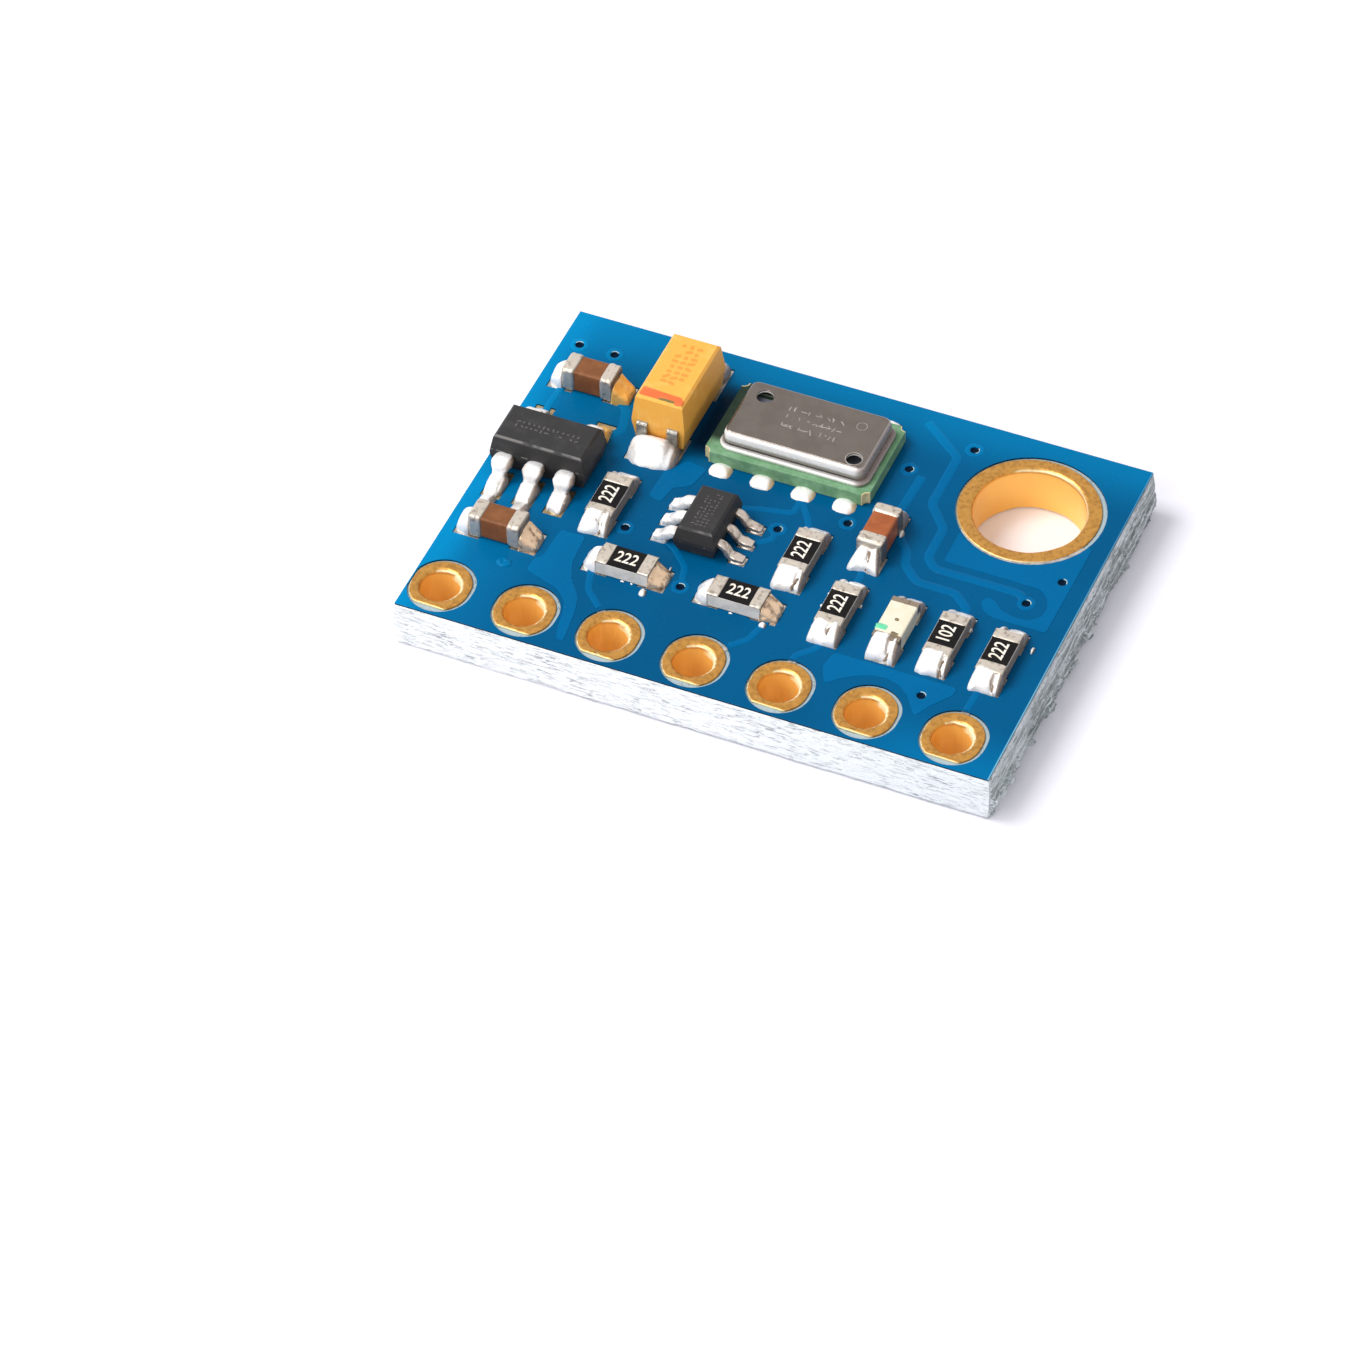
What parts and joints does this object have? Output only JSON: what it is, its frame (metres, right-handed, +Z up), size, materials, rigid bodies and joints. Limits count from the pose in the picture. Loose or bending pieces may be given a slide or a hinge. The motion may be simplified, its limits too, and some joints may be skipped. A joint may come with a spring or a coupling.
{
  "type": "pressure sensor module",
  "caption": "Small blue circuit board carrying a barometric pressure sensor with a vented metal lid, a voltage regulator, a level shifter and chip parts, with a row of pin holes.",
  "frame": {"origin": "middle of the board's underside", "axes": "+X along the row of pin holes, towards the mounting hole's side; +Y from the pin edge to the back edge; +Z up out of the side that carries the parts"},
  "size_m": [0.0176, 0.0128, 0.0033],
  "materials": {
    "fibreglass_laminate": "matt, cut fibres at the edges",
    "copper": "satin, under the mask",
    "blue_solder_mask": "glossy",
    "gold_plating": "satin gold",
    "green_base": "satin",
    "drawn_metal_lid": "satin nickel",
    "silicon": "polished",
    "solder": "bright",
    "black_moulding": "fine matt",
    "tinned_legs": "bright tin",
    "yellow_moulding": "matt",
    "brown_ceramic": "satin fired ceramic",
    "tin_caps": "satin tin",
    "white_ceramic": "matt alumina",
    "black_glass": "glossy glaze",
    "lamp_base_board": "matt",
    "bronze_ends": "worn gold",
    "cream_lens": "cloudy resin"
  },
  "bodies": {
    "root": {"substrate": "fibreglass_laminate", "top_copper": "copper", "bottom_copper": "copper", "top_mask": "blue_solder_mask", "bottom_mask": "blue_solder_mask", "mount_hole_plating": "gold_plating", "pin_hole_plating_1": "gold_plating", "pin_hole_plating_2": "gold_plating", "pin_hole_plating_3": "gold_plating", "pin_hole_plating_4": "gold_plating", "pin_hole_plating_5": "gold_plating", "pin_hole_plating_6": "gold_plating", "pin_hole_plating_7": "gold_plating", "sensor_base": "green_base", "sensor_terminals": "gold_plating", "sensor_lid": "drawn_metal_lid", "sensor_pressure_die": "silicon", "sensor_converter_die": "silicon", "sensor_solder": "solder", "regulator_body": "black_moulding", "regulator_leads": "tinned_legs", "regulator_solder": "solder", "level_shifter_body": "black_moulding", "level_shifter_leads": "tinned_legs", "level_shifter_solder": "solder", "tantalum_body": "yellow_moulding", "tantalum_terminals": "tinned_legs", "tantalum_solder": "solder", "capacitor_body_1": "brown_ceramic", "capacitor_body_2": "brown_ceramic", "capacitor_body_3": "brown_ceramic", "capacitor_caps_1": "tin_caps", "capacitor_caps_2": "tin_caps", "capacitor_caps_3": "tin_caps", "resistor_ceramic_1": "white_ceramic", "resistor_ceramic_2": "white_ceramic", "resistor_ceramic_3": "white_ceramic", "resistor_ceramic_4": "white_ceramic", "resistor_ceramic_5": "white_ceramic", "resistor_ceramic_6": "white_ceramic", "resistor_ceramic_7": "white_ceramic", "resistor_overcoat_1": "black_glass", "resistor_overcoat_2": "black_glass", "resistor_overcoat_3": "black_glass", "resistor_overcoat_4": "black_glass", "resistor_overcoat_5": "black_glass", "resistor_overcoat_6": "black_glass", "resistor_overcoat_7": "black_glass", "resistor_ends_1": "tin_caps", "resistor_ends_2": "tin_caps", "resistor_ends_3": "tin_caps", "resistor_ends_4": "tin_caps", "resistor_ends_5": "tin_caps", "resistor_ends_6": "tin_caps", "resistor_ends_7": "tin_caps", "lamp_base": "lamp_base_board", "lamp_ends": "bronze_ends", "lamp_die": "silicon", "lamp_lens": "cream_lens", "chip_solder": "solder"}
  },
  "joints": []
}
